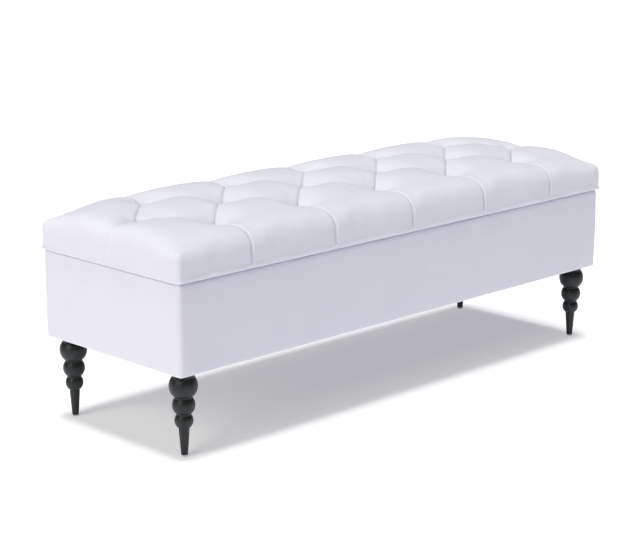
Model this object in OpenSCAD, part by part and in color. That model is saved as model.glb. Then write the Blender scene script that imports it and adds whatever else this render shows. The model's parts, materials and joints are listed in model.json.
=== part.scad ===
// Upholstered storage bench: a padded box on four turned legs, closed by a diamond-tufted lid
// that is hinged along the back and held open by two gas struts.
// Millimetres, +Z up, front towards -Y. The origin is on the floor under the middle of the bench.

/* [Base] */
// Width of the upholstered base
base_w = 1400; // [1200:20:1600]
// Depth of the upholstered base
base_d = 460; // [440:5:500]
// Height of the base's rim above the floor
base_top = 384; // [375:1:400]
// Thickness of the plywood panels
panel_t = 15; // [12:1:16]
// Radius of the base's upright corners
corner_r = 8; // [7:1:12]

/* [Legs] */
// Height of a leg from the floor to the underside of the base
leg_h = 186; // [182:1:188]
// Distance from the base's faces to a leg's axis
leg_inset = 42; // [40:1:50]

/* [Lid] */
// Height of the lid's lower edge above the base's rim
lid_gap = 3; // [3:0.5:4]
// Height of the lid from its lower edge to its crown
lid_h = 116; // [100:1:120]
// How far the lid stands out past the base at the front and the sides
lid_overhang = 3.5; // [3:0.5:5]
// Thickness of the plywood board in the lid
lid_board_t = 12; // [9:1:15]

/* [Tufting] */
// Tufts in the middle row; the front and back rows have one fewer
tuft_columns = 6; // [5:1:7]
// Distance from the lid's ends to the first and last tuft of the middle row
tuft_margin = 75; // [70:5:90]

/* [Hinges and struts] */
// Distance between neighbouring hinges
hinge_pitch = 480; // [300:10:480]
// Distance from the hinge axis to both ends of a gas strut
strut_reach = 158; // [157:1:160]

/* [Hidden] */
$fn = 48;
play = 0.05;               // radial clearance of bores round screws, pins and bolts
velvet = "lavender";
timber = "burlywood";
black_lacquer = "#24282a";
steel = "silver";

// Base, from the outside in and from the bottom up
fabric_t = 1.2;
wadding_t = 1.8;
lining_t = 1;
dust_cover_t = 1;
skin_t = fabric_t + wadding_t;
base_bottom = leg_h + dust_cover_t;
panel_bottom = base_bottom + fabric_t;
panel_top = base_top - fabric_t;
well_w = base_w - 2 * (skin_t + panel_t);
well_d = base_d - 2 * (skin_t + panel_t);
frame_h = 22;              // bottom rails, cross rails and leg blocks
frame_top = panel_bottom + frame_h;
floor_t = 6;
well_floor = frame_top + floor_t;
skirt_h = 14;              // how far the base cover turns down inside the well
post_side = 24;
post_top = base_top - skirt_h;
rail_w = 40;
block_side = 86;
underlap = 35;             // width of cloth turned under the base and under the lid
dust_cover_inset = 10;
cross_rail_pitch = 300;
cross_rail_count = 3;

// Legs
leg_taper_h = 64;
leg_toe_r = 7.4;
leg_ankle_r = 12.3;
leg_beads = [[79.5, 20.2], [113.5, 24.8], [156, 31]];             // [height of the centre, radius]
leg_collars = [[82, 104, 16], [118, 144, 19], [160, leg_h, 24]];  // [bottom, top, radius]
glide_h = 4;
glide_r = 6.8;
glide_nail_l = 12;
glide_nail_r = 1.2;
bolt_r = 4;
bolt_bottom = leg_h - 34;
bolt_top = frame_top - 2;
t_nut_r = 5;
t_nut_flange_r = 11;
t_nut_flange_t = 1.2;
leg_x = base_w / 2 - leg_inset;
leg_y = base_d / 2 - leg_inset;

// Lid, from the bottom up
lid_bottom = base_top + lid_gap;
lid_w = base_w + 2 * lid_overhang;
lid_front = -base_d / 2 - lid_overhang;
lid_back = base_d / 2 + 1;
lid_d = lid_back - lid_front;
lid_mid = (lid_front + lid_back) / 2;
cover_t = 2.5;             // velvet with its layer of wadding
board_bottom = lid_bottom + cover_t;
board_top = board_bottom + lid_board_t;

slice_t = 0.1;

// Outline of the lid at rising heights: [share of the height, growth of the outline, corner radius]
lid_levels = [
    [0.00, 0, 8],
    [0.27, 5, 8],
    [0.49, 3, 12],
    [0.72, -30, 40],
    [0.88, -86, 60],
    [1.00, -220, 80]
];

// Tufts: the middle row is half a pitch out of step with the rows in front and behind
tuft_pitch = (base_w - 2 * tuft_margin) / (tuft_columns - 1);
row_pitch = base_d / 4;
tuft_z = lid_bottom + 0.5 * lid_h;
tuft_r = 3;                // bottom of the funnel that a tuft makes
tuft_flare = 0.8;          // growth of the funnel's radius for each millimetre of height
twine_r = 1;
knot_r = 3;
board_hole_r = 3;
foam_hole_r = 5;
washer_r = 8;
washer_t = 1.2;

function row_points(count, y) = [for (i = [0 : count - 1]) [(i - (count - 1) / 2) * tuft_pitch, y]];
tufts = concat(row_points(tuft_columns - 1, -row_pitch), row_points(tuft_columns, 0),
               row_points(tuft_columns - 1, row_pitch));

// Hinges: the leaves fill the gap under the lid and the barrels stand behind it
leaf_t = 1.2;
leaf_w = 70;
leaf_d = 20;
knuckle_r = 3;
knuckle_count = 5;
knuckle_gap = 0.3;
hinge_pin_r = 1.5;
hinge_y = lid_back + knuckle_r + 0.2;
hinge_z = base_top + lid_gap / 2;
leaf_edge = hinge_y - knuckle_r - 0.4;
leaf_screw_y = base_d / 2 - skin_t - panel_t / 2;
leaf_screw_pitch = 24;
screw_l = 13;
screw_r = 1.6;
screw_head_r = 3;
screw_head_t = 1.2;
knuckle_w = leaf_w / knuckle_count;

// Gas struts: both ends lie on one circle round the hinge axis, so the strut turns half as far as the lid
strut_x = base_w / 2 - 64;
eye_r = 8;
eye_w = 8;
eye_shank_r = 3.5;
eye_l = 18;
strut_pin_r = 3;
rod_r = 3;
tube_r = 7.5;
tube_bore_r = 6.5;
tube_end_t = 3;
guide_l = 8;
piston_l = 4;
piston_gap = 1;
piston_slack = 0.3;
bracket_t = 2;
bracket_w = 30;
bracket_h = 24;
bracket_screw_pitch = 16;
foot_y = well_d / 2 - 17;
foot_z = hinge_z - sqrt(pow(strut_reach, 2) - pow(hinge_y - foot_y, 2));
head_z = lid_bottom - 18;
head_y = hinge_y - sqrt(pow(strut_reach, 2) - pow(hinge_z - head_z, 2));
strut_l = norm([foot_y - head_y, head_z - foot_z]);
strut_tilt = atan2(foot_y - head_y, head_z - foot_z);
tube_top = strut_l - eye_l;
tube_bottom = eye_l + 2.5;
piston_top = tube_top - tube_end_t - piston_gap;
web_x = strut_x + eye_w / 2 + 3;
pin_end_x = strut_x - eye_w / 2 - 3;
bracket_screw_x = web_x - 22;
foot_flange_y = well_d / 2 - lining_t - bracket_t;

bumper_r = 5;
bumper_slack = 0.1;
bumper_ys = [-0.42, 0.22] * base_d;

// A rectangle with rounded corners, centred on [0, y]
module rounded_slab(w, d, r, z0, z1, y = 0) {
    translate([0, y, (z0 + z1) / 2]) {
        cube([w - 2 * r, d, z1 - z0], center = true);
        cube([w, d - 2 * r, z1 - z0], center = true);
        for (sx = [-1, 1], sy = [-1, 1])
            translate([sx * (w / 2 - r), sy * (d / 2 - r), 0])
                cylinder(r = r, h = z1 - z0, center = true);
    }
}

// A box given by the ranges it fills along X, Y and Z
module block(x, y, z) {
    translate([x[0], y[0], z[0]])
        cube([x[1] - x[0], y[1] - y[0], z[1] - z[0]]);
}

// A round bar between two heights
module post(x, y, z0, z1, r) {
    translate([x, y, z0])
        cylinder(r = r, h = z1 - z0);
}

// A round bar along X
module cross_bar(x0, x1, y, z, r) {
    translate([x0, y, z])
        rotate([0, 90, 0])
            cylinder(r = r, h = x1 - x0);
}

// The base's plan, moved in from the outer face by a distance
module base_slab(inset, z0, z1) {
    rounded_slab(base_w - 2 * inset, base_d - 2 * inset, corner_r - inset, z0, z1);
}

module well_slab(inset, z0, z1) {
    block([-well_w / 2 + inset, well_w / 2 - inset], [-well_d / 2 + inset, well_d / 2 - inset], [z0, z1]);
}

// A countersunk screw along +Z with its head's face at the origin
module screw(length, slack = 0) {
    cylinder(r = screw_r + slack, h = length);
    cylinder(r1 = screw_head_r + slack, r2 = screw_r + slack, h = screw_head_t);
}

module screw_hole() {
    screw(screw_l + 1, play);
}

module at_base_leaf_screws() {
    for (side = [-1 : 1], i = [-1 : 1])
        translate([side * hinge_pitch + i * leaf_screw_pitch, leaf_screw_y, base_top + leaf_t])
            rotate([180, 0, 0])
                children();
}

module at_lid_leaf_screws() {
    for (side = [-1 : 1], i = [-1 : 1])
        translate([side * hinge_pitch + i * leaf_screw_pitch, leaf_screw_y, lid_bottom - leaf_t])
            children();
}

module at_foot_screws() {
    for (sx = [-1, 1], i = [-1, 1])
        translate([sx * bracket_screw_x, foot_flange_y, foot_z + i * bracket_screw_pitch / 2])
            rotate([-90, 0, 0])
                children();
}

module at_head_screws() {
    for (sx = [-1, 1], i = [-1, 1])
        translate([sx * bracket_screw_x, head_y + i * bracket_screw_pitch / 2, lid_bottom - bracket_t])
            children();
}

module at_legs() {
    for (sx = [-1, 1], sy = [-1, 1])
        translate([sx * leg_x, sy * leg_y, 0])
            children();
}

// Base box

module long_panel(sy) {
    color(timber)
        intersection() {
            base_slab(skin_t, panel_bottom, panel_top);
            translate([0, sy * (well_d / 2 + panel_t / 2), (panel_bottom + panel_top) / 2])
                cube([base_w, panel_t, base_top], center = true);
        }
}

module end_panel(sx) {
    color(timber)
        translate([sx * (well_w / 2 + panel_t / 2), 0, (panel_bottom + panel_top) / 2])
            cube([panel_t, well_d, panel_top - panel_bottom], center = true);
}

module base_front_panel() {
    long_panel(-1);
}

module base_back_panel() {
    difference() {
        long_panel(1);
        at_base_leaf_screws()
            screw_hole();
        at_foot_screws()
            screw_hole();
    }
}

module base_left_panel() {
    end_panel(-1);
}

module base_right_panel() {
    end_panel(1);
}

module base_floor_panel() {
    color(timber)
        well_slab(0, frame_top, well_floor);
}

module corner_post(sx, sy) {
    color(timber)
        translate([sx * (well_w - post_side) / 2, sy * (well_d - post_side) / 2, (well_floor + post_top) / 2])
            cube([post_side, post_side, post_top - well_floor], center = true);
}

module corner_post_front_left() {
    corner_post(-1, -1);
}

module corner_post_front_right() {
    corner_post(1, -1);
}

module corner_post_back_left() {
    corner_post(-1, 1);
}

module corner_post_back_right() {
    corner_post(1, 1);
}

module bottom_rail(sy) {
    color(timber)
        translate([0, sy * (well_d - rail_w) / 2, (panel_bottom + frame_top) / 2])
            cube([well_w - 2 * block_side, rail_w, frame_h], center = true);
}

module bottom_rail_front() {
    bottom_rail(-1);
}

module bottom_rail_back() {
    bottom_rail(1);
}

module cross_rails() {
    color(timber)
        for (i = [0 : cross_rail_count - 1])
            translate([(i - (cross_rail_count - 1) / 2) * cross_rail_pitch, 0,
                       (panel_bottom + frame_top) / 2])
                cube([rail_w, well_d - 2 * rail_w, frame_h], center = true);
}

module leg_block(sx, sy) {
    color(timber)
        difference() {
            translate([sx * (well_w - block_side) / 2, sy * (well_d - block_side) / 2,
                       (panel_bottom + frame_top) / 2])
                cube([block_side, block_side, frame_h], center = true);
            post(sx * leg_x, sy * leg_y, base_bottom, frame_top + 1, t_nut_r);
            post(sx * leg_x, sy * leg_y, frame_top - t_nut_flange_t, frame_top + 1, t_nut_flange_r);
        }
}

module leg_block_front_left() {
    leg_block(-1, -1);
}

module leg_block_front_right() {
    leg_block(1, -1);
}

module leg_block_back_left() {
    leg_block(-1, 1);
}

module leg_block_back_right() {
    leg_block(1, 1);
}

module base_wadding() {
    color("ivory")
        difference() {
            base_slab(fabric_t, panel_bottom, panel_top);
            base_slab(skin_t, panel_bottom - 1, panel_top + 1);
        }
}

// Wrapped round the sides, over the rim and down into the well, and turned under the bottom edge
module base_cover() {
    color(velvet)
        difference() {
            base_slab(0, base_bottom, base_top);
            base_slab(fabric_t, panel_bottom, post_top + lining_t);
            difference() {
                base_slab(fabric_t, post_top, panel_top);
                well_slab(0, post_top - 1, base_top);
            }
            well_slab(fabric_t, post_top, base_top + 1);
            rounded_slab(base_w - 2 * underlap, base_d - 2 * underlap, 1, base_bottom - 1, panel_bottom + 1);
            at_base_leaf_screws()
                screw_hole();
        }
}

// The storage well between the corner posts, shrunk by a distance
module well_between_posts(inset, z0, z1) {
    difference() {
        well_slab(inset, z0, z1);
        for (sx = [-1, 1], sy = [-1, 1])
            translate([sx * well_w / 2, sy * well_d / 2, (z0 + z1) / 2])
                cube([2 * (post_side + inset), 2 * (post_side + inset), z1 - z0 + 2], center = true);
    }
}

module box_lining() {
    color("whitesmoke")
        difference() {
            union() {
                well_between_posts(0, well_floor, post_top);
                well_slab(0, post_top, post_top + lining_t);
            }
            well_between_posts(lining_t, well_floor + lining_t, base_top);
            at_foot_screws()
                screw_hole();
        }
}

module dust_cover() {
    color("dimgray")
        difference() {
            rounded_slab(base_w - 2 * dust_cover_inset, base_d - 2 * dust_cover_inset, 2, leg_h, base_bottom);
            at_legs()
                post(0, 0, leg_h - 1, base_bottom + 1, bolt_r);
        }
}

module lid_bumpers() {
    color("gray")
        for (sx = [-1, 1], y = bumper_ys)
            post(sx * (well_w + panel_t) / 2, y, base_top, lid_bottom - bumper_slack, bumper_r);
}

// Legs

// Turned profile: a long taper under three beads, with a collar above each of them
module leg(sx, sy) {
    color(black_lacquer)
        translate([sx * leg_x, sy * leg_y, 0])
            difference() {
                union() {
                    translate([0, 0, glide_h])
                        cylinder(r1 = leg_toe_r, r2 = leg_ankle_r, h = leg_taper_h);
                    for (bead = leg_beads)
                        translate([0, 0, bead[0]])
                            sphere(r = bead[1]);
                    for (collar = leg_collars)
                        post(0, 0, collar[0], collar[1], collar[2]);
                }
                post(0, 0, bolt_bottom, leg_h + 1, bolt_r);
                post(0, 0, leg_h, 2 * leg_h, block_side / 2);
                post(0, 0, glide_h - 1, glide_h + glide_nail_l, glide_nail_r);
            }
}

module leg_front_left() {
    leg(-1, -1);
}

module leg_front_right() {
    leg(1, -1);
}

module leg_back_left() {
    leg(-1, 1);
}

module leg_back_right() {
    leg(1, 1);
}

module leg_bolts() {
    color(steel)
        at_legs()
            post(0, 0, bolt_bottom, bolt_top, bolt_r);
}

module leg_t_nuts() {
    color(steel)
        at_legs()
            difference() {
                union() {
                    post(0, 0, frame_top - 10, frame_top, t_nut_r);
                    post(0, 0, frame_top - t_nut_flange_t, frame_top, t_nut_flange_r);
                }
                post(0, 0, frame_top - 11, frame_top + 1, bolt_r);
            }
}

module foot_glides() {
    color(steel)
        at_legs() {
            post(0, 0, 0, glide_h, glide_r);
            post(0, 0, glide_h - 1, glide_h + glide_nail_l, glide_nail_r);
        }
}

// Lid

// The lid's domed outline, moved in by a distance
module lid_dome(inset) {
    hull()
        for (level = lid_levels)
            rounded_slab(lid_w + level[1] - 2 * inset, lid_d + level[1] - 2 * inset, level[2] - inset,
                         lid_bottom + level[0] * (lid_h - inset) - slice_t,
                         lid_bottom + level[0] * (lid_h - inset), lid_mid);
}

// One funnel for each tuft, reaching past the crown; depth lowers and widens it
module tuft_funnels(depth) {
    for (p = tufts)
        translate([p[0], p[1], tuft_z - depth])
            cylinder(r1 = tuft_r + depth, r2 = tuft_r + depth + tuft_flare * lid_h, h = lid_h);
}

module under_lid(z0, z1) {
    block([-base_w, base_w], [-base_d, base_d], [z0, z1]);
}

module lid_window(z0, z1) {
    rounded_slab(lid_w - 2 * underlap, lid_d - 2 * underlap, 2, z0, z1, lid_mid);
}

module lid_screw_holes() {
    at_lid_leaf_screws()
        screw_hole();
    at_head_screws()
        screw_hole();
}

module lid_board() {
    color(timber)
        difference() {
            rounded_slab(lid_w - 2 * cover_t, lid_d - 2 * cover_t, lid_levels[0][2] - cover_t,
                         board_bottom, board_top, lid_mid);
            for (p = tufts) {
                post(p[0], p[1], board_bottom - 1, board_top + 1, board_hole_r);
                post(p[0], p[1], board_bottom - 1, board_bottom + washer_t, washer_r);
            }
            lid_screw_holes();
        }
}

module lid_foam() {
    color("khaki")
        difference() {
            lid_dome(cover_t);
            under_lid(0, board_top);
            tuft_funnels(cover_t);
            for (p = tufts)
                post(p[0], p[1], board_top - 1, tuft_z, foam_hole_r);
        }
}

// A shell over the foam, pulled down to a point at each tuft and turned under the board
module lid_cover() {
    color(velvet)
        difference() {
            lid_dome(0);
            under_lid(0, lid_bottom);
            difference() {
                lid_dome(cover_t);
                under_lid(0, board_bottom);
                tuft_funnels(cover_t);
            }
            tuft_funnels(0);
            lid_window(lid_bottom - 1, board_bottom + 1);
            lid_screw_holes();
        }
}

module lid_lining() {
    color("whitesmoke")
        difference() {
            lid_window(lid_bottom, lid_bottom + lining_t);
            at_head_screws()
                screw_hole();
        }
}

module tuft_twines() {
    color("linen")
        for (p = tufts) {
            post(p[0], p[1], board_bottom, tuft_z - cover_t, twine_r);
            post(p[0], p[1], lid_bottom + lining_t, board_bottom, knot_r);
        }
}

module tuft_washers() {
    color(steel)
        for (p = tufts)
            difference() {
                post(p[0], p[1], board_bottom, board_bottom + washer_t, washer_r);
                post(p[0], p[1], board_bottom - 1, board_bottom + washer_t + 1, twine_r + play);
            }
}

// Hinges

// Knuckles of one leaf: the even ones belong to the base leaf and the odd ones to the lid leaf
module knuckles(first) {
    for (i = [first : 2 : knuckle_count - 1])
        cross_bar(-leaf_w / 2 + i * knuckle_w + knuckle_gap / 2,
                  -leaf_w / 2 + (i + 1) * knuckle_w - knuckle_gap / 2, hinge_y, hinge_z, knuckle_r);
}

module leaf(x, first, z) {
    translate([x, 0, 0])
        difference() {
            union() {
                block([-leaf_w / 2, leaf_w / 2], [hinge_y - leaf_d, leaf_edge], [z, z + leaf_t]);
                for (i = [first : 2 : knuckle_count - 1])
                    block([-leaf_w / 2 + i * knuckle_w + knuckle_gap / 2,
                           -leaf_w / 2 + (i + 1) * knuckle_w - knuckle_gap / 2],
                          [leaf_edge - 1, hinge_y - hinge_pin_r - 0.5], [z, z + leaf_t]);
                knuckles(first);
            }
            cross_bar(-leaf_w, leaf_w, hinge_y, hinge_z, hinge_pin_r + play);
        }
}

module base_leaf(x) {
    color(steel)
        difference() {
            leaf(x, 0, base_top);
            at_base_leaf_screws()
                screw_hole();
        }
}

module lid_leaf(x) {
    color(steel)
        difference() {
            leaf(x, 1, lid_bottom - leaf_t);
            at_lid_leaf_screws()
                screw_hole();
        }
}

module hinge_pin(x) {
    color(steel)
        cross_bar(x - leaf_w / 2, x + leaf_w / 2, hinge_y, hinge_z, hinge_pin_r);
}

module hinge_left_base_leaf() {
    base_leaf(-hinge_pitch);
}

module hinge_left_lid_leaf() {
    lid_leaf(-hinge_pitch);
}

module hinge_left_pin() {
    hinge_pin(-hinge_pitch);
}

module hinge_center_base_leaf() {
    base_leaf(0);
}

module hinge_center_lid_leaf() {
    lid_leaf(0);
}

module hinge_center_pin() {
    hinge_pin(0);
}

module hinge_right_base_leaf() {
    base_leaf(hinge_pitch);
}

module hinge_right_lid_leaf() {
    lid_leaf(hinge_pitch);
}

module hinge_right_pin() {
    hinge_pin(hinge_pitch);
}

module hinge_base_screws() {
    color(steel)
        at_base_leaf_screws()
            screw(screw_l);
}

module hinge_lid_screws() {
    color(steel)
        at_lid_leaf_screws()
            screw(screw_l);
}

// Gas struts, drawn for the right-hand end and mirrored for the left

module on_side(sx) {
    mirror([sx < 0 ? 1 : 0, 0, 0])
        children();
}

// The pin at one end of a strut, with a shoulder next to the bracket's web and a head past the eye
module strut_pin(y, z) {
    cross_bar(pin_end_x, web_x + bracket_t, y, z, strut_pin_r);
    cross_bar(strut_x + eye_w / 2 + knuckle_gap, web_x, y, z, strut_pin_r + 2);
    cross_bar(pin_end_x, strut_x - eye_w / 2 - knuckle_gap, y, z, strut_pin_r + 1.5);
    cross_bar(web_x, web_x + bracket_t, y, z, eye_r);
}

module strut_base_bracket(sx) {
    color("dimgray")
        difference() {
            on_side(sx) {
                block([web_x + bracket_t - bracket_w, web_x + bracket_t],
                      [foot_flange_y, foot_flange_y + bracket_t],
                      [foot_z - bracket_h / 2, foot_z + bracket_h / 2]);
                block([web_x, web_x + bracket_t], [foot_y, foot_flange_y + bracket_t],
                      [foot_z - eye_r, foot_z + eye_r]);
                strut_pin(foot_y, foot_z);
            }
            at_foot_screws()
                screw_hole();
        }
}

module strut_lid_bracket(sx) {
    color("dimgray")
        difference() {
            on_side(sx) {
                block([web_x + bracket_t - bracket_w, web_x + bracket_t],
                      [head_y - bracket_h / 2, head_y + bracket_h / 2],
                      [lid_bottom - bracket_t, lid_bottom]);
                block([web_x, web_x + bracket_t], [head_y - eye_r, head_y + eye_r], [head_z, lid_bottom]);
                strut_pin(head_y, head_z);
            }
            at_head_screws()
                screw_hole();
        }
}

// Puts a strut's parts in place: they are drawn standing on the foot pin, along +Z
module in_strut(sx) {
    on_side(sx)
        translate([strut_x, foot_y, foot_z])
            rotate([strut_tilt, 0, 0])
                children();
}

// An eye round a pin at height z, with a shank between two heights
module strut_eye(z, shank_bottom, shank_top) {
    difference() {
        union() {
            cross_bar(-eye_w / 2, eye_w / 2, 0, z, eye_r);
            post(0, 0, shank_bottom, shank_top, eye_shank_r);
        }
        cross_bar(-eye_w, eye_w, 0, z, strut_pin_r + play);
    }
}

module strut_rod_eye(sx) {
    color("dimgray")
        in_strut(sx)
            strut_eye(0, 0, eye_l);
}

module strut_rod(sx) {
    color(steel)
        in_strut(sx) {
            post(0, 0, eye_l, piston_top, rod_r);
            post(0, 0, piston_top - piston_l, piston_top, tube_bore_r - piston_slack);
        }
}

module strut_tube(sx) {
    color(black_lacquer)
        in_strut(sx)
            difference() {
                post(0, 0, tube_bottom, tube_top, tube_r);
                post(0, 0, tube_bottom + guide_l, tube_top - tube_end_t, tube_bore_r);
                post(0, 0, tube_bottom - 1, tube_bottom + guide_l + 1, rod_r + play);
            }
}

module strut_tube_eye(sx) {
    color("dimgray")
        in_strut(sx)
            strut_eye(strut_l, tube_top, strut_l);
}

module strut_left_base_bracket() {
    strut_base_bracket(-1);
}

module strut_left_lid_bracket() {
    strut_lid_bracket(-1);
}

module strut_left_rod() {
    strut_rod(-1);
}

module strut_left_rod_eye() {
    strut_rod_eye(-1);
}

module strut_left_tube() {
    strut_tube(-1);
}

module strut_left_tube_eye() {
    strut_tube_eye(-1);
}

module strut_right_base_bracket() {
    strut_base_bracket(1);
}

module strut_right_lid_bracket() {
    strut_lid_bracket(1);
}

module strut_right_rod() {
    strut_rod(1);
}

module strut_right_rod_eye() {
    strut_rod_eye(1);
}

module strut_right_tube() {
    strut_tube(1);
}

module strut_right_tube_eye() {
    strut_tube_eye(1);
}

module strut_base_screws() {
    color(steel)
        at_foot_screws()
            screw(screw_l);
}

module strut_lid_screws() {
    color(steel)
        at_head_screws()
            screw(screw_l);
}

base_front_panel();
base_back_panel();
base_left_panel();
base_right_panel();
base_floor_panel();
corner_post_front_left();
corner_post_front_right();
corner_post_back_left();
corner_post_back_right();
bottom_rail_front();
bottom_rail_back();
cross_rails();
leg_block_front_left();
leg_block_front_right();
leg_block_back_left();
leg_block_back_right();
base_wadding();
base_cover();
box_lining();
dust_cover();
lid_bumpers();
leg_front_left();
leg_front_right();
leg_back_left();
leg_back_right();
leg_bolts();
leg_t_nuts();
foot_glides();
lid_board();
lid_foam();
lid_cover();
lid_lining();
tuft_twines();
tuft_washers();
hinge_left_base_leaf();
hinge_left_lid_leaf();
hinge_left_pin();
hinge_center_base_leaf();
hinge_center_lid_leaf();
hinge_center_pin();
hinge_right_base_leaf();
hinge_right_lid_leaf();
hinge_right_pin();
hinge_base_screws();
hinge_lid_screws();
strut_left_base_bracket();
strut_left_lid_bracket();
strut_left_rod();
strut_left_rod_eye();
strut_left_tube();
strut_left_tube_eye();
strut_right_base_bracket();
strut_right_lid_bracket();
strut_right_rod();
strut_right_rod_eye();
strut_right_tube();
strut_right_tube_eye();
strut_base_screws();
strut_lid_screws();
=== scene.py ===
"""Looks of the upholstered storage bench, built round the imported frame. Metres, +Z up, front towards -Y."""
import json
import math

import bmesh
import bpy
import numpy as np
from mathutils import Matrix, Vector


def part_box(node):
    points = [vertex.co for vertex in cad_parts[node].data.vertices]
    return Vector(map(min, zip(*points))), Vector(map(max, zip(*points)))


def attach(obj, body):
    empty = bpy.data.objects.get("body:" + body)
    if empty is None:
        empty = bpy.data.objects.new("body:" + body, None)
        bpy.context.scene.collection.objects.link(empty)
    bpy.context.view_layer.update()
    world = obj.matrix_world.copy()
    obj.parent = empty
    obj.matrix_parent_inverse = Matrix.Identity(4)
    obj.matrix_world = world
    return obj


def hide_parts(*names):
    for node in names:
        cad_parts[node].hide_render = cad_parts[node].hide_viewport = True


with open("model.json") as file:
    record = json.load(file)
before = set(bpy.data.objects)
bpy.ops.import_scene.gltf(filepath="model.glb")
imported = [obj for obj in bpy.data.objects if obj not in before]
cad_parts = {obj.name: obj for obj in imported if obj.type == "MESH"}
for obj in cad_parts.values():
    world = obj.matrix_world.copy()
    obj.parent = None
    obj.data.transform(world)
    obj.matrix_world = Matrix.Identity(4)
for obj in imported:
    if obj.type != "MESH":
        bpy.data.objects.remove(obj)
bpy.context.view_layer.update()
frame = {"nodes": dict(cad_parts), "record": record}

# ---------------------------------------------------------------- sizes, from the frame

COVER_LOW, COVER_HIGH = (np.array(c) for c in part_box("base_cover"))
LID_LOW, LID_HIGH = (np.array(c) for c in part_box("lid_cover"))
LINING_LOW, LINING_HIGH = (np.array(c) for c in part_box("box_lining"))
LID_LINING_LOW, LID_LINING_HIGH = (np.array(c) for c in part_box("lid_lining"))
DUST_LOW, DUST_HIGH = (np.array(c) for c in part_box("dust_cover"))
POST_LOW, POST_HIGH = (np.array(c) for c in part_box("corner_post_front_left"))
BOARD_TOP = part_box("lid_board")[1][2]

BASE_X, BASE_Y = COVER_HIGH[0], COVER_HIGH[1]
LID_BULGE = 0.0025                       # how far the CAD lid stands out above its lower edge
LID_X = LID_HIGH[0] - LID_BULGE
LID_FRONT = -LID_LOW[1] - LID_BULGE
LID_BACK = LID_HIGH[1] - LID_BULGE
LID_Z = LID_LOW[2]

# ---------------------------------------------------------------- tufts and pleats

PITCH_X, PITCH_Y = 0.125, 0.115          # half the pitch along a row, and the distance between rows
COLUMNS = 5                              # tufts in the front and back rows
CELLS = 32                               # lattice cells from a tuft's column to the next one

ROW_X = [(k - (COLUMNS - 1) / 2) * 2 * PITCH_X for k in range(COLUMNS)]
MIDDLE_X = [(k - COLUMNS / 2) * 2 * PITCH_X for k in range(COLUMNS + 1)]
TUFTS = [(x, y) for y in (-PITCH_Y, PITCH_Y) for x in ROW_X] + [(x, 0.0) for x in MIDDLE_X]

TINY = 1e-6                              # lengths below this count as nothing


def smooth(x, low, high):
    """0 below low, 1 above high, and a soft step between them."""
    x = np.clip((x - low) / (high - low), 0, 1)
    return x * x * (3 - 2 * x)


def spline(points, count, steps=40):
    """A smooth curve through points, sampled count times, with its length so far at each sample."""
    p = np.array(points, float)
    p = np.vstack([2 * p[0] - p[1], p, 2 * p[-1] - p[-2]])
    fine = []
    for a, b, c, d in zip(p, p[1:], p[2:], p[3:]):
        for u in np.linspace(0, 1, steps, endpoint=False):
            fine.append(0.5 * (2 * b + (c - a) * u + (2 * a - 5 * b + 4 * c - d) * u**2
                               + (3 * b - a - 3 * c + d) * u**3))
    fine = np.array(fine + [p[-2]])
    run = np.concatenate([[0], np.cumsum(np.linalg.norm(np.diff(fine, axis=0), axis=1))])
    at = np.linspace(0, run[-1], count)
    return at, np.stack([np.interp(at, run, fine[:, k]) for k in range(fine.shape[1])], axis=1)


# ---------------------------------------------------------------- making meshes

def mesh_object(name, points, faces):
    mesh = bpy.data.meshes.new(name)
    mesh.from_pydata([tuple(p) for p in points], [], [tuple(int(i) for i in f) for f in faces])
    mesh.validate()
    mesh.polygons.foreach_set("use_smooth", np.ones(len(mesh.polygons), bool))
    obj = bpy.data.objects.new(name, mesh)
    bpy.context.collection.objects.link(obj)
    return obj


def points_of(obj):
    p = np.empty(len(obj.data.vertices) * 3)
    obj.data.vertices.foreach_get("co", p)
    return p.reshape(-1, 3)


def set_points(obj, points):
    obj.data.vertices.foreach_set("co", points.ravel())
    obj.data.update()


def normals_of(obj):
    n = np.empty(len(obj.data.vertices) * 3)
    obj.data.vertex_normals.foreach_get("vector", n)
    return n.reshape(-1, 3)


def apply_modifiers(obj):
    evaluated = obj.evaluated_get(bpy.context.evaluated_depsgraph_get())
    mesh = bpy.data.meshes.new_from_object(evaluated)
    obj.modifiers.clear()
    obj.data = mesh


def subdivide(obj, levels=1):
    m = obj.modifiers.new("subdivision", "SUBSURF")
    m.levels = m.render_levels = levels


# ---------------------------------------------------------------- the tufted lid cover

# Section of the cover's side, outwards from the shoulder: (distance out, height above the lid's lower edge)
SIDE_SECTION = [
    (-0.0300, 0.0905), (-0.0190, 0.0850), (-0.0110, 0.0780), (-0.0055, 0.0700), (-0.0022, 0.0610),
    (-0.0006, 0.0500), (0.0004, 0.0380), (0.0008, 0.0260), (0.0008, 0.0160), (0.0004, 0.0100),
    (0.0014, 0.0070), (0.0036, 0.0046), (0.0038, 0.0016), (0.0018, -0.0007), (-0.0022, -0.0008),
    (-0.0070, -0.0002), (-0.0360, -0.0002),
]
SHOULDER = -SIDE_SECTION[0][0]
SECTION_RUN, SECTION = spline([(out, LID_Z + up) for out, up in SIDE_SECTION], count=400)
SECTION_L = SECTION_RUN[-1]
HEM_UP, HEM_TURN = 0.003, -0.002         # height of the hem's fullest point, and where it turns under
RIM_RUN = SECTION_RUN[np.argmin(abs(SECTION[:, 1] - LID_Z - HEM_UP) + (SECTION[:, 0] < HEM_TURN))]
FLAT_X, FLAT_Y = LID_X - SHOULDER, LID_FRONT - SHOULDER   # half sizes of the top inside the shoulder
BACK_IN = LID_FRONT - LID_BACK           # how much nearer to the middle the lid's back is than its front

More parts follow.
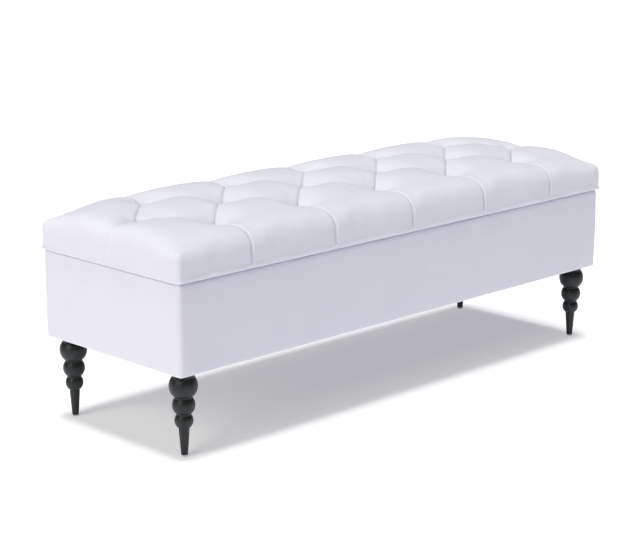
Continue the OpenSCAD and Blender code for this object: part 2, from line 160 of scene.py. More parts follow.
CROWN_Z = LID_HIGH[2]                    # height of the cover in the middle of the lid, between tufts
CROWN_FADE_X, CROWN_FADE_Y = 0.098, 0.045    # how far in from the shoulder most of the crown's rise lies
SHOULDER_DROP = CROWN_Z - SECTION[0, 1]
SHOULDER_RUN = 0.06                      # run past the shoulder over which the crown's shape dies out

# Corners, seen from above: a radius that tightens from the shoulder down to the side
CORNER_R_TOP, CORNER_R_TIGHTER, CORNER_R_RUN = 0.030, 0.020, 0.034
CORNER_POWER = 2.2                       # how strongly the two falls add up at a corner
CORNER_LIFT, CORNER_LIFT_AT, CORNER_LIFT_REACH = 0.003, 0.036, 0.012   # squares the corner's upper edge

# How the cover's front and ends differ from an even crown
FRONT_FALL, FRONT_FALL_REACH = 0.015, 0.25       # how much lower the cover lies towards the front edge
FRONT_FALL_FROM, FRONT_FALL_TO = -0.010, 0.090   # distances in from the front edge where that sets in
FRONT_FALL_END, FRONT_FALL_FADE = 0.07, 0.9      # past the last tuft column it loses this share
END_FALL, END_FALL_REACH = 0.0105, 0.085         # and towards the corners
CORNER_FROM, CORNER_TO = 0.10, 0.19              # distances from the middle line where a corner sets in
HIGH_FROM, HIGH_TO = 0.045, 0.090                # heights above the lower edge that belong to the top
FRONT_LEAN, LEAN_FROM = 0.005, 0.12              # how much further in the front shoulder starts
HEM_FROM, HEM_TO = 0.003, 0.012                  # heights above the lower edge that belong to the hem
HEM_INNER, HEM_OUTER = -0.020, -0.004            # the hem's turned-under cloth stays where it is
HEM_CORNER = 0.010                               # half of the stretch in which the front hem meets the end
FRONT_HEM_LIFT = 0.0020                          # how much higher the hem runs along the front
FRONT_BEAD, HEM_EASE = 0.0010, 0.0010            # the hem stands out further in front, less elsewhere

TUFT_DEPTH, TUFT_REACH, TUFT_SHARP = 0.042, 0.029, 1.15
TUFT_RUN = 0.03                                  # a tuft's dimple ends this far past the shoulder
PLEAT_DEPTH, PLEAT_WIDTH = 0.0075, 0.018         # of the pleats between two tufts
EDGE_PLEAT_DEPTH, EDGE_PLEAT_WIDTH = 0.0032, 0.012   # of the pleats that run down the sides
PLEAT_EXTRA, PLEAT_EXTRA_REACH = 0.005, 0.035    # how much deeper a pleat is close to a tuft
PLEAT_FADE = 0.9                                 # share of its depth that a pleat loses at the hem
# The two tufts nearest the ends are shallower: where they start, and their share off depth, reach and extra
END_TUFT_FROM, END_TUFT_TO = 0.06, 0.11
END_TUFT_DEPTH, END_TUFT_REACH, END_TUFT_EXTRA = 0.35, 0.3, 0.7


def pleats():
    """Every pleat as its two ends on the flat cloth."""
    out = []
    for x in ROW_X:
        for side in (-1, 1):
            tuft = (x, side * PITCH_Y)
            out.append((tuft, (x - PITCH_X, 0.0)))
            out.append((tuft, (x + PITCH_X, 0.0)))
            out.append((tuft, (x, side * (FLAT_Y + RIM_RUN))))
    for side in (-1, 1):
        out.append(((side * MIDDLE_X[-1], 0.0), (side * (FLAT_X + RIM_RUN), 0.0)))
    return out


def nearest_pleat(s, t):
    """For each point: distance from the nearest pleat, with its sign, and the direction across that pleat."""
    best = np.full(s.shape, np.inf)
    signed = np.zeros(s.shape)
    across = np.zeros((*s.shape, 2))
    for a, b in pleats():
        a, b = np.array(a), np.array(b)
        along = (b - a) / np.linalg.norm(b - a)
        normal = np.array([-along[1], along[0]])
        # It points to -Y, or to +X where the pleat runs along Y, so that all folds lap the same way.
        if normal[1] > 1e-9 or abs(normal[1]) <= 1e-9 and normal[0] < 0:
            normal = -normal
        u = (s - a[0]) * along[0] + (t - a[1]) * along[1]
        u = np.clip(u, 0, np.linalg.norm(b - a))
        px, py = s - a[0] - u * along[0], t - a[1] - u * along[1]
        dist = np.hypot(px, py)
        hit = dist < best - 1e-9
        best = np.where(hit, dist, best)
        signed = np.where(hit, np.sign(px * normal[0] + py * normal[1]) * dist, signed)
        across[hit] = normal
    return best, signed, across


def nearest_tuft(s, t):
    return np.min([np.hypot(s - x, t - y) for x, y in TUFTS], axis=0)


def drop_at(edge, fade):
    """How far the crown has fallen at a distance in from the lower edge."""
    return SHOULDER_DROP * np.exp(-(edge - SHOULDER) / fade)


def lid_surface(s, t):
    """Carries points of the flat cloth onto the cover without its pillows, with their run down the side."""
    # Where the section has got to at this run past the shoulder
    ds, dt = abs(s) - FLAT_X, abs(t) - FLAT_Y
    run = np.clip(np.maximum(ds, dt), 0, SECTION_L)
    out = np.interp(run, SECTION_RUN, SECTION[:, 0]) + SHOULDER
    z = np.interp(run, SECTION_RUN, SECTION[:, 1])
    # At a corner, straight on until the arc starts and then round it; share is 1 on the corner's diagonal
    sharp = CORNER_R_TOP - CORNER_R_TIGHTER * smooth(run, 0.0, CORNER_R_RUN)
    radius = np.minimum(out, sharp)
    share = np.clip(np.minimum(ds, dt) / np.maximum(run, 1e-9), 0, 1)
    along = share * (out - radius + radius * math.pi / 4)
    turn = np.clip((along - (out - radius)) / np.maximum(radius, 1e-9), 0, None)
    far = np.where(turn > 0, out - radius + radius * np.cos(turn), out)
    near = np.where(turn > 0, out - radius + radius * np.sin(turn), along)
    corner = (ds > 0) & (dt > 0)
    x = np.where(corner, FLAT_X + np.where(ds >= dt, far, near), np.where(ds > 0, FLAT_X + out, abs(s)))
    y = np.where(corner, FLAT_Y + np.where(ds >= dt, near, far), np.where(dt > 0, FLAT_Y + out, abs(t)))
    # The crown falls from the middle to the shoulder on all four sides
    fall_x = drop_at(np.maximum(LID_X - x, SHOULDER), CROWN_FADE_X)
    fall_y = drop_at(np.maximum(LID_FRONT - y, SHOULDER), CROWN_FADE_Y)
    both = (fall_x**CORNER_POWER + fall_y**CORNER_POWER) ** (1 / CORNER_POWER)
    corner_fall = (both - np.maximum(fall_x, fall_y)) * (1 - smooth(run, 0.0, SHOULDER_RUN))
    z = np.where(run > 0, z - corner_fall, CROWN_Z - both)
    z = z + CORNER_LIFT * share**2 * np.exp(-(((run - CORNER_LIFT_AT) / CORNER_LIFT_REACH) ** 2))
    # The top is lower towards the front and at the corners
    edge = LID_FRONT - np.copysign(y, -t)
    front = FRONT_FALL * np.exp(-((edge / FRONT_FALL_REACH) ** 2))
    front *= smooth(edge, FRONT_FALL_FROM, FRONT_FALL_TO)
    front *= 1 - FRONT_FALL_FADE * smooth(x, ROW_X[-1] + FRONT_FALL_END, FLAT_X)
    from_end = np.maximum(LID_X - x - SHOULDER, 0)
    end = END_FALL * np.exp(-((from_end / END_FALL_REACH) ** 2)) * smooth(y, CORNER_FROM, CORNER_TO)
    high = smooth(z, LID_Z + HIGH_FROM, LID_Z + HIGH_TO)
    z = z - (front + end) * high
    # The hem runs higher and further out along the front, and a little further in elsewhere
    hem = (1 - smooth(z, LID_Z + HEM_FROM, LID_Z + HEM_TO)) * smooth(out - SHOULDER, HEM_INNER, HEM_OUTER)
    z = z + FRONT_HEM_LIFT * hem * np.where(t < 0, smooth(dt - ds, -HEM_CORNER, HEM_CORNER), 0)
    x = x - HEM_EASE * hem * smooth(ds, 0, SHOULDER_RUN)
    y = y + np.where(t < 0, FRONT_BEAD, -HEM_EASE) * hem * smooth(dt, 0, SHOULDER_RUN)
    # The back is nearer to the middle than the front is, and the front's shoulder leans in
    y = y - np.where(t > 0, BACK_IN, FRONT_LEAN * high) * smooth(y, LEAN_FROM, FLAT_Y)
    return np.stack([np.copysign(x, s), np.copysign(y, t), z], axis=1), run


def lid_lattice(cells):
    """A lattice of diamonds whose edges run along every pleat: its flat coordinates and its faces."""
    dx, dy = PITCH_X / cells, PITCH_Y / cells
    ni, nj = round((FLAT_X + SECTION_L) / dx), round((FLAT_Y + SECTION_L) / dy)
    nj += (ni + nj) % 2                  # so that the corners are points of the lattice
    index, coords = {}, []
    for i in range(-ni, ni + 1):
        for j in range(-nj, nj + 1):
            if (i + j) % 2 == 0:
                index[i, j] = len(coords)
                coords.append((i * dx, j * dy))
    # Diamonds on a pleat that runs down a side are split, so that an edge follows the pleat.
    straight = {round(x / dx) for x in ROW_X}
    middle_end = round(MIDDLE_X[-1] / dx)
    faces = []
    for i in range(-ni, ni + 1):
        for j in range(-nj, nj + 1):
            if (i + j) % 2 == 0:
                continue
            e, n, w, s = (index.get(k) for k in ((i + 1, j), (i, j + 1), (i - 1, j), (i, j - 1)))
            if None in (e, n, w, s):
                corner = [k for k in (e, n, w, s) if k is not None]
                if len(corner) == 3:
                    faces.append(corner)
            elif i in straight and abs(j) > cells:
                faces += [(e, n, s), (n, w, s)]
            elif j == 0 and abs(i) > middle_end:
                faces += [(e, n, w), (e, w, s)]
            else:
                faces.append((e, n, w, s))
    # Past the shoulder the cells are scaled, so that the last points end the section.
    coords = np.array(coords)
    for k, flat in ((0, FLAT_X), (1, FLAT_Y)):
        c = coords[:, k]
        over = abs(c) > flat
        stretch = SECTION_L / (abs(c).max() - flat)
        coords[:, k] = np.where(over, np.copysign(flat + (abs(c) - flat) * stretch, c), c)
    return coords, faces


def dents(s, t, run):
    """How deep the tufts and pleats pull the cover in, along its normal."""
    dist, _, _ = nearest_pleat(s, t)
    tuft = nearest_tuft(s, t)
    past_rows = (abs(t) - PITCH_Y) / (FLAT_Y - PITCH_Y)
    past_ends = (abs(s) - MIDDLE_X[-1]) / (FLAT_X - MIDDLE_X[-1])
    outside = np.clip(np.maximum(past_rows, past_ends), 0, 1)
    end = smooth(abs(s), ROW_X[-1] + END_TUFT_FROM, ROW_X[-1] + END_TUFT_TO)
    depth = PLEAT_DEPTH + (EDGE_PLEAT_DEPTH - PLEAT_DEPTH) * outside
    depth += PLEAT_EXTRA * (1 - END_TUFT_EXTRA * end) * np.exp(-tuft / PLEAT_EXTRA_REACH)
    depth *= 1 - PLEAT_FADE * smooth(run, 0.0, RIM_RUN)
    width = PLEAT_WIDTH + (EDGE_PLEAT_WIDTH - PLEAT_WIDTH) * outside
    reach = tuft / TUFT_REACH / (1 - END_TUFT_REACH * end)
    dimple = TUFT_DEPTH * (1 - END_TUFT_DEPTH * end) * np.exp(-(reach ** TUFT_SHARP))
    dimple *= 1 - smooth(run, 0.0, TUFT_RUN)
    return -(depth * np.exp(-dist / width) + dimple)


def edge_ends(obj):
    """The first point and the second point of every edge."""
    edges = np.empty(len(obj.data.edges) * 2, int)
    obj.data.edges.foreach_get("vertices", edges)
    return edges.reshape(-1, 2).T


def settle(obj, moved, pinned, rounds=14):
    """Evens a displacement out between neighbouring points, which takes the fine creases out of it."""
    a, b = edge_ends(obj)
    count = np.bincount(np.concatenate([a, b]), minlength=len(moved))[:, None]
    for _ in range(rounds):
        total = np.zeros_like(moved)
        np.add.at(total, a, moved[b])
        np.add.at(total, b, moved[a])
        moved = np.where(pinned[:, None], moved, (moved + total / count) / 2)
    return moved


def cloth_swell(obj, pinned, cap, pressure=4.0, grow=0.03, frames=20):
    """Blows the cloth up between its pinned points and keeps every point within cap of where it was."""
    start = points_of(obj)
    group = obj.vertex_groups.new(name="pinned")
    group.add([int(i) for i in np.nonzero(pinned)[0]], 1.0, "REPLACE")
    cloth = obj.modifiers.new("cloth", "CLOTH")
    c = cloth.settings
    c.vertex_group_mass = "pinned"
    c.quality = 6
    c.mass = 0.3
    c.tension_stiffness = c.compression_stiffness = 15
    c.shear_stiffness = 8
    c.bending_stiffness = 0.6
    c.air_damping = 1.5
    c.use_pressure = True
    c.uniform_pressure_force = pressure
    c.shrink_min = -grow                 # less than no shrinking, so the cloth grows
    c.effector_weights.gravity = 0
    cloth.collision_settings.use_self_collision = False
    cloth.point_cache.frame_start = 1
    cloth.point_cache.frame_end = frames
    scene = bpy.context.scene
    for f in range(1, frames + 1):
        scene.frame_set(f)
    apply_modifiers(obj)
    scene.frame_set(1)
    moved = points_of(obj) - start
    size = np.linalg.norm(moved, axis=1, keepdims=True)
    held = moved * cap * np.tanh(size / cap) / np.maximum(size, 1e-9)
    set_points(obj, start + settle(obj, held, pinned))
    obj.vertex_groups.clear()


# Section across a fold, in rows of the lattice from the pleat's line: (row, row moved to, rise in metres).
# The cloth on the positive side laps over a narrow groove, and the cloth on the other side runs under it.
FOLD = [(-4, -4.0, 0.0), (-3, -2.85, 0.0006), (-2, -1.65, 0.0008), (-1, -0.44, 0.0004), (0, -0.05, -0.0085),
        (1, -0.14, 0.0014), (2, 1.10, 0.0019), (3, 2.45, 0.0009), (4, 3.75, 0.0), (5, 5.0, 0.0)]
FOLD_CREASE = [(0, 0.9), (1, 0.5)]               # how sharp the bottom and the lip of a fold are
ON_ROW = 0.05                                    # a point this close to a row, in rows, counts as on it
END_FOLD = 0.35                                  # strength of the folds on the ends, against the front's
FOLD_FROM, FOLD_TO = 0.004, 0.024                # distances from a tuft where a fold sets in
FOLD_END, FOLD_STOP = 0.014, 0.002               # distances above the hem where a fold dies out
SIDE_FOLD_FADE, SIDE_FOLD_FROM, SIDE_FOLD_TO = 0.35, 0.01, 0.05   # it is weaker past the shoulder


def fold_pleats(obj, s, t, run):
    """Lays one side of each pleat over the other, as the spare cloth between two tufts does."""
    dist, signed, across = nearest_pleat(s, t)
    tuft = nearest_tuft(s, t)
    p, n = points_of(obj), normals_of(obj)
    strength = smooth(tuft, FOLD_FROM, FOLD_TO) * (1 - smooth(run, RIM_RUN - FOLD_END, RIM_RUN - FOLD_STOP))
    strength *= 1 - SIDE_FOLD_FADE * smooth(run, SIDE_FOLD_FROM, SIDE_FOLD_TO)
    on_end = (abs(s) > MIDDLE_X[-1] + TINY) & (dist >= abs(t) - TINY)
    strength *= np.where(on_end, END_FOLD, 1.0)
    dx, dy = PITCH_X / CELLS, PITCH_Y / CELLS
    slanted = 2 * dx * dy / math.hypot(dx, dy)
    row = np.where(abs(across[:, 1]) < TINY, dx, np.where(abs(across[:, 0]) < TINY, dy, slanted))
    rows, moved, rise = np.array(FOLD).T
    at = np.where(dist < TINY, 0.0, signed / row)
    shift = (np.interp(at, rows, moved, left=0, right=0) - at) * row
    shift = np.where((at > rows[0]) & (at < rows[-1]), shift, 0.0)
    step = 1e-4
    ahead, _ = lid_surface(s + step * across[:, 0], t + step * across[:, 1])
    here, _ = lid_surface(s, t)
    side = ahead - here
    side /= np.maximum(np.linalg.norm(side, axis=1, keepdims=True), 1e-12)
    up = np.interp(at, rows, rise, left=0, right=0)
    set_points(obj, p + side * (shift * strength)[:, None] + n * (up * strength)[:, None])
    a, b = edge_ends(obj)
    crease = np.zeros(len(a))
    for level, sharp in FOLD_CREASE:
        on_row = (abs(at[a] - level) < ON_ROW) & (abs(at[b] - level) < ON_ROW)
        crease = np.where(on_row, sharp * np.minimum(strength[a], strength[b]), crease)
    obj.data.attributes.new("crease_edge", "FLOAT", "EDGE").data.foreach_set("value", crease)


TUFT_PIN, HEM_PIN = 0.007, 0.012         # the cloth is held this near to a tuft, and this far above the hem
PILLOW_RISE = 0.003                      # the most that a point of the cloth may swell


def lid_cover():
    """The tufted velvet: a crown with dents, swollen between its tufts, with folded pleats."""
    coords, faces = lid_lattice(CELLS)
    s, t = coords.T
    base, run = lid_surface(s, t)
    obj = mesh_object("lid_cover_velvet", base, faces)
    set_points(obj, base + normals_of(obj) * dents(s, t, run)[:, None])
    dist, _, _ = nearest_pleat(s, t)
    pinned = (dist < 10 * TINY) | (nearest_tuft(s, t) < TUFT_PIN) | (run > RIM_RUN - HEM_PIN)
    cloth_swell(obj, pinned, cap=PILLOW_RISE)
    fold_pleats(obj, s, t, run)
    subdivide(obj)
    return obj


FOAM_CELLS = 8                           # lattice cells of the foam from a tuft's column to the next one
FOAM_UNDER, FOAM_STOP = 0.007, 0.01      # its depth under the velvet, and where it ends above the hem


def lid_foam():
    """The foam under the cover: the same pillows, a little smaller, closed underneath."""
    coords, faces = lid_lattice(FOAM_CELLS)
    s, t = coords.T
    base, run = lid_surface(s, t)
    obj = mesh_object("lid_foam_block", base, faces)
    n = normals_of(obj)
    p = base + n * (dents(s, t, run) - FOAM_UNDER)[:, None]
    p[:, 2] = np.maximum(p[:, 2], BOARD_TOP)
    keep = run < RIM_RUN - FOAM_STOP
    bm = bmesh.new()
    bm.from_mesh(obj.data)
    for v, q in zip(bm.verts, p):
        v.co = q
    bm.verts.ensure_lookup_table()
    bmesh.ops.delete(bm, geom=[v for v, k in zip(bm.verts, keep) if not k], context="VERTS")
    rim = [e for e in bm.edges if e.is_boundary]
    for v in {v for e in rim for v in e.verts}:
        v.co.z = BOARD_TOP
    bmesh.ops.contextual_create(bm, geom=rim)
    bmesh.ops.recalc_face_normals(bm, faces=bm.faces)
    bm.to_mesh(obj.data)
    bm.free()
    return obj


# ---------------------------------------------------------------- cloth wrapped round boxes

SPACING = 0.012                          # between the points of the cloths on the box


def ring(half_x, half_y, radius, spacing=SPACING, arc=8):
    """Points round a rectangle with rounded corners; every ring of one spacing has as many of them."""
    nx, ny = round(2 * BASE_X / spacing), round(2 * BASE_Y / spacing)
    points = []
    for k, (sx, sy) in enumerate(((1, 1), (-1, 1), (-1, -1), (1, -1))):
        centre = np.array([sx * (half_x - radius), sy * (half_y - radius)])
        for a in np.linspace(0, math.pi / 2, arc, endpoint=False):
            angle = k * math.pi / 2 + a
            points.append(centre + radius * np.array([math.cos(angle), math.sin(angle)]))
        angle = (k + 1) * math.pi / 2
        first = centre + radius * np.array([math.cos(angle), math.sin(angle)])
        tx, ty = ((-1, 1), (-1, -1), (1, -1), (1, 1))[k]
        last = np.array([tx * (half_x - radius), ty * (half_y - radius)])
        last = last + radius * np.array([math.cos(angle), math.sin(angle)])
        n = nx if k % 2 == 0 else ny
        points += [first + (last - first) * u for u in np.linspace(0, 1, n, endpoint=False)]
    return np.array(points)


def wrap(name, half_x, half_y, section, closed=False):
    """Sweeps a section of (distance outwards, height, corner radius) round a box."""
    rings = []
    for out, z, r in section:
        outline = ring(half_x + out, half_y + out, r)
        rings.append(np.column_stack([outline, np.full(len(outline), z)]))
    n, m = len(rings[0]), len(rings)
    faces = [(a * n + i, a * n + (i + 1) % n, (a + 1) % m * n + (i + 1) % n, (a + 1) % m * n + i)
             for a in range(m if closed else m - 1) for i in range(n)]
    return mesh_object(name, np.vstack(rings), faces)


def ripple(obj, height, size, seed, waves=14):
    """Moves the surface in and out a little, in soft waves about size across."""
    local = np.random.default_rng(seed)
    p, n = points_of(obj), normals_of(obj)
    total = np.zeros(len(p))
    for _ in range(waves):
        direction = local.normal(size=3)
        direction /= np.linalg.norm(direction)
        wave = 2 * math.pi / (size * local.uniform(0.6, 1.8))
        total += np.sin(p @ direction * wave + local.uniform(0, 2 * math.pi))
    set_points(obj, p + n * (total / math.sqrt(waves) * height)[:, None])


# Section of the base cover: under the bottom edge, as (distance out, height above the bottom, corner radius),
# up the side, as (distance out, share of the side's height), and over the rim down into the well, as
# (distance out, depth below the rim, corner radius).
BOTTOM_EDGE = [
    (-0.0350, 0.0006, 0.001), (-0.0180, 0.0002, 0.001), (-0.0060, 0.0, 0.003), (-0.0024, 0.0003, 0.006),
    (-0.0006, 0.0016, 0.008), (0.0, 0.0040, 0.009),
]
SIDE_BULGE = [
    (0.0003, 0.08), (0.0006, 0.21), (0.0008, 0.33), (0.0009, 0.49), (0.0008, 0.64), (0.0006, 0.77),
    (0.0003, 0.89),
]
RIM = [
    (0.0, 0.0070, 0.009), (-0.0005, 0.0030, 0.008), (-0.0018, 0.0005, 0.006), (-0.0045, -0.0004, 0.004),
    (-0.0150, -0.0004, 0.002), (-0.0180, 0.0002, 0.002), (-0.0194, 0.0018, 0.002),
    (-0.0198, 0.0060, 0.002), (-0.0198, 0.0136, 0.002),
]
SIDE_RADIUS = 0.010
BASE_BOTTOM, BASE_RIM = COVER_LOW[2], COVER_HIGH[2]
FRONT_RIM_DROP = 0.003                   # how much lower the rim's outer edge is along the front
DROP_BELOW, DROP_FULL = 0.03, 0.005      # distances below the rim where the drop sets in and is full
DROP_IN, DROP_OUT = 0.0025, 0.0008       # distances in from the face where it ends and is full
RIPPLE, RIPPLE_SIZE = 0.0002, 0.16       # height and length of the soft waves in the stretched velvet


def base_cover():
    """The velvet round the box, from under its bottom edge over the rim into the well."""
    height = BASE_RIM - BASE_BOTTOM
    section = [(out, BASE_BOTTOM + up, r) for out, up, r in BOTTOM_EDGE]
    section += [(out, BASE_BOTTOM + share * height, SIDE_RADIUS) for out, share in SIDE_BULGE]
    section += [(out, BASE_RIM - down, r) for out, down, r in RIM]
    obj = wrap("base_cover_velvet", BASE_X, BASE_Y, section)
    p = points_of(obj)
    p[:, 2] -= FRONT_RIM_DROP * (smooth(p[:, 2], BASE_RIM - DROP_BELOW, BASE_RIM - DROP_FULL)
                                 * smooth(-p[:, 1], BASE_Y - DROP_IN, BASE_Y - DROP_OUT))
    set_points(obj, p)
    ripple(obj, RIPPLE, RIPPLE_SIZE, seed=3)
    subdivide(obj)
    return obj


WADDING_LOW, WADDING_TOP = 0.0016, 0.0090        # its edges, in from the bottom edge and from the rim
WADDING_INNER = (-0.0028, 0.006)                 # distance out from the box's face, and corner radius
WADDING_OUTER = (-0.0014, 0.0075)


def base_wadding():
    """The thin layer between the panels and the velvet."""
    heights = np.linspace(BASE_BOTTOM + WADDING_LOW, BASE_RIM - WADDING_TOP, 4)
    inner = [(WADDING_INNER[0], z, WADDING_INNER[1]) for z in heights]
    outer = [(WADDING_OUTER[0], z, WADDING_OUTER[1]) for z in heights[::-1]]
    return wrap("base_wadding_layer", BASE_X, BASE_Y, inner + outer, closed=True)


SAG_REACH = 0.09                                 # a cloth sags to its full depth this far from its edge
HEM_WIDTH, HEM_STEP = 0.008, 0.005               # a turned hem, and the slope next to it


def sheet_grid(name, low, high, z, spacing=SPACING, sag=0.0, hem=0.0):
    """A flat cloth with a turned hem, sagging a little between its edges."""
    nx, ny = round((high[0] - low[0]) / spacing), round((high[1] - low[1]) / spacing)
    xs, ys = np.linspace(low[0], high[0], nx + 1), np.linspace(low[1], high[1], ny + 1)
    x, y = (a.ravel() for a in np.meshgrid(xs, ys, indexing="ij"))
    edge = np.minimum(np.minimum(x - low[0], high[0] - x), np.minimum(y - low[1], high[1] - y))
    folded = 1 - smooth(edge, HEM_WIDTH, HEM_WIDTH + HEM_STEP)
    height = z - sag * smooth(edge, 0.0, SAG_REACH) - hem * folded
    row = ny + 1
    faces = [(i * row + j, (i + 1) * row + j, (i + 1) * row + j + 1, i * row + j + 1)
             for i in range(nx) for j in range(ny)]
    return mesh_object(name, np.column_stack([x, y, height]), faces)


LINING_INSET = 0.0011                            # of the lining from the walls of the well
POST_ROOM = 0.001                                # between a corner post and the lining round it
LINING_UP, LINING_OVER = 0.0012, 0.0008          # above the well's floor, and above the posts
FOOT_BEND, FOOT_END, TOP_BEND = 0.004, 0.02, 0.004   # heights of the extra rows at the foot and the top


def box_lining():
    """The cloth tub inside the storage well: a floor, walls, and the corner posts wrapped in it."""
    side = POST_HIGH[0] - POST_LOW[0] + POST_ROOM
    x0, y0 = LINING_LOW[:2] + LINING_INSET
    x1, y1 = LINING_HIGH[:2] - LINING_INSET
    corners = [
        (x0 + side, y0), (x1 - side, y0), (x1 - side, y0 + side), (x1, y0 + side), (x1, y1 - side),
        (x1 - side, y1 - side), (x1 - side, y1), (x0 + side, y1), (x0 + side, y1 - side), (x0, y1 - side),
        (x0, y0 + side), (x0 + side, y0 + side),
    ]
    outline = []
    for a, b in zip(corners, corners[1:] + corners[:1]):
        a, b = np.array(a), np.array(b)
        n = max(2, round(np.linalg.norm(b - a) / SPACING))
        outline += [a + (b - a) * u for u in np.linspace(0, 1, n, endpoint=False)]
    outline = np.array(outline)
    floor_z, top_z = LINING_LOW[2] + LINING_UP, POST_HIGH[2] + LINING_OVER
    n = len(outline)
    wall = np.linspace(floor_z + FOOT_END, top_z - TOP_BEND, 12)
    levels = np.concatenate([[floor_z, floor_z + FOOT_BEND], wall, [top_z]])
    points = np.vstack([np.column_stack([outline, np.full(n, z)]) for z in levels])
    faces = [(a * n + i, a * n + (i + 1) % n, (a + 1) * n + (i + 1) % n, (a + 1) * n + i)
             for a in range(len(levels) - 1) for i in range(n)]
    faces = [f[::-1] for f in faces]
    faces.append(tuple(range(n)))
    # A square cap over each corner post
    caps = []
    for cx, ox in ((x0, 1), (x1, -1)):
        for cy, oy in ((y0, 1), (y1, -1)):
            first = len(points) + len(caps)
            square = [(cx, cy), (cx + ox * side, cy), (cx + ox * side, cy + oy * side), (cx, cy + oy * side)]
            caps += [(*p, top_z) for p in (square if ox * oy > 0 else square[::-1])]
            faces.append(tuple(range(first, first + 4)))
    obj = mesh_object("box_lining_cloth", np.vstack([points, caps]), faces)
    bm = bmesh.new()
    bm.from_mesh(obj.data)
    bmesh.ops.remove_doubles(bm, verts=bm.verts, dist=1e-5)
    bmesh.ops.triangulate(bm, faces=[f for f in bm.faces if len(f.verts) > 4])
    bm.to_mesh(obj.data)
    bm.free()
    shade_by_angle(obj)
    return obj


def shade_by_angle(obj, angle=35):
    obj.data.set_sharp_from_angle(angle=math.radians(angle))


BUMPER_R = 0.005


def bumper(name, x, y, z0, z1, radius=BUMPER_R, n=32):
    """A felt disc with soft edges."""
    levels = [(0.90, 0.0), (1.0, 0.25), (1.0, 0.75), (0.90, 1.0)]
    points = [(x + radius * k * math.cos(a), y + radius * k * math.sin(a), z0 + (z1 - z0) * h)
              for k, h in levels for a in np.linspace(0, 2 * math.pi, n, endpoint=False)]
    faces = [(a * n + i, a * n + (i + 1) % n, (a + 1) * n + (i + 1) % n, (a + 1) * n + i)
             for a in range(len(levels) - 1) for i in range(n)]
    faces += [tuple(range(n))[::-1], tuple(range((len(levels) - 1) * n, len(levels) * n))]
    obj = mesh_object(name, points, faces)
    shade_by_angle(obj)
    return obj


# ---------------------------------------------------------------- materials

class Shader:
    """Builds one procedural material: its nodes read the piece's own object coordinates."""

    def __init__(self, name, color, roughness, **sockets):
        self.material = bpy.data.materials.new(name)
        self.material.use_nodes = True
        self.tree = self.material.node_tree
        self.bsdf = self.tree.nodes["Principled BSDF"]
        self.bsdf.inputs["Base Color"].default_value = (*color, 1)
        self.bsdf.inputs["Roughness"].default_value = roughness
        for key, value in sockets.items():
            self.bsdf.inputs[key.replace("_", " ")].default_value = value
        self.place = self.node("ShaderNodeTexCoord").outputs["Object"]
        self.normal = None

    def node(self, kind, **values):
        n = self.tree.nodes.new(kind)
        for key, value in values.items():
            if hasattr(n, key):
                setattr(n, key, value)
            else:
                self.feed(n.inputs[key.replace("_", " ")], value)
        return n

    def feed(self, socket, value):
        if isinstance(value, bpy.types.NodeSocket):
            self.tree.links.new(value, socket)
        else:
            socket.default_value = value

    def stretched(self, scale):
        """Object coordinates scaled by a different amount along each axis."""
        return self.node("ShaderNodeMapping", Vector=self.place, Scale=scale).outputs["Vector"]

    def noise(self, scale, detail=3.0, roughness=0.5, place=None, distortion=0.0):
        n = self.node("ShaderNodeTexNoise", Vector=place or self.place, Scale=scale, Detail=detail,
                      Roughness=roughness, Distortion=distortion)
        return n.outputs["Fac"]

    def ramp(self, value, start, end, low=0.3, high=0.7):
        """value from low to high becomes start to end; most of a noise lies between 0.3 and 0.7."""
        n = self.node("ShaderNodeMapRange", Value=value)
        n.inputs["From Min"].default_value, n.inputs["From Max"].default_value = low, high
        n.inputs["To Min"].default_value, n.inputs["To Max"].default_value = start, end
        return n.outputs["Result"]

    def math(self, operation, a, b):
        n = self.node("ShaderNodeMath")
        n.operation = operation
        self.feed(n.inputs[0], a)
        self.feed(n.inputs[1], b)
        return n.outputs[0]

    def tint(self, value, dark, light):
        """A colour between dark and light."""
        n = self.node("ShaderNodeMix")
        n.data_type = "RGBA"
        self.feed(n.inputs["Factor"], value)
        # A mix node has sockets for every type: inputs 6 and 7 and output 2 are its colours.
        n.inputs[6].default_value, n.inputs[7].default_value = (*dark, 1), (*light, 1)
        return n.outputs[2]

    def color(self, value):
        self.feed(self.bsdf.inputs["Base Color"], value)

    def rough(self, value):
        self.feed(self.bsdf.inputs["Roughness"], value)

    def bump(self, height, distance, strength=1.0):
        n = self.node("ShaderNodeBump", Height=height, Distance=distance, Strength=strength)
        if self.normal:
            self.feed(n.inputs["Normal"], self.normal)
        self.normal = n.outputs["Normal"]
        self.feed(self.bsdf.inputs["Normal"], self.normal)


def velvet():
    m = Shader("velvet_lavender_white", (0.74, 0.73, 0.83), 0.88, Specular_IOR_Level=0.22,
               Sheen_Weight=0.35, Sheen_Roughness=0.45, Sheen_Tint=(0.96, 0.95, 1.0, 1))
    nap = m.noise(9, detail=5, roughness=0.6, distortion=0.6)
    pile = m.noise(1500, detail=2)
    brushed = m.noise(60, detail=3, place=m.stretched((1, 1, 0.35)))
    shade = m.math("ADD", m.ramp(nap, 0.1, 0.55), m.ramp(brushed, 0.0, 0.12))
    shade = m.math("ADD", shade, m.ramp(pile, 0.0, 0.2))
    m.color(m.tint(shade, (0.688, 0.690, 0.782), (0.740, 0.742, 0.834)))
    m.rough(m.ramp(nap, 0.8, 0.95))
    m.bump(brushed, 0.00025, 0.5)
    m.bump(pile, 0.0002, 0.5)
    return m.material


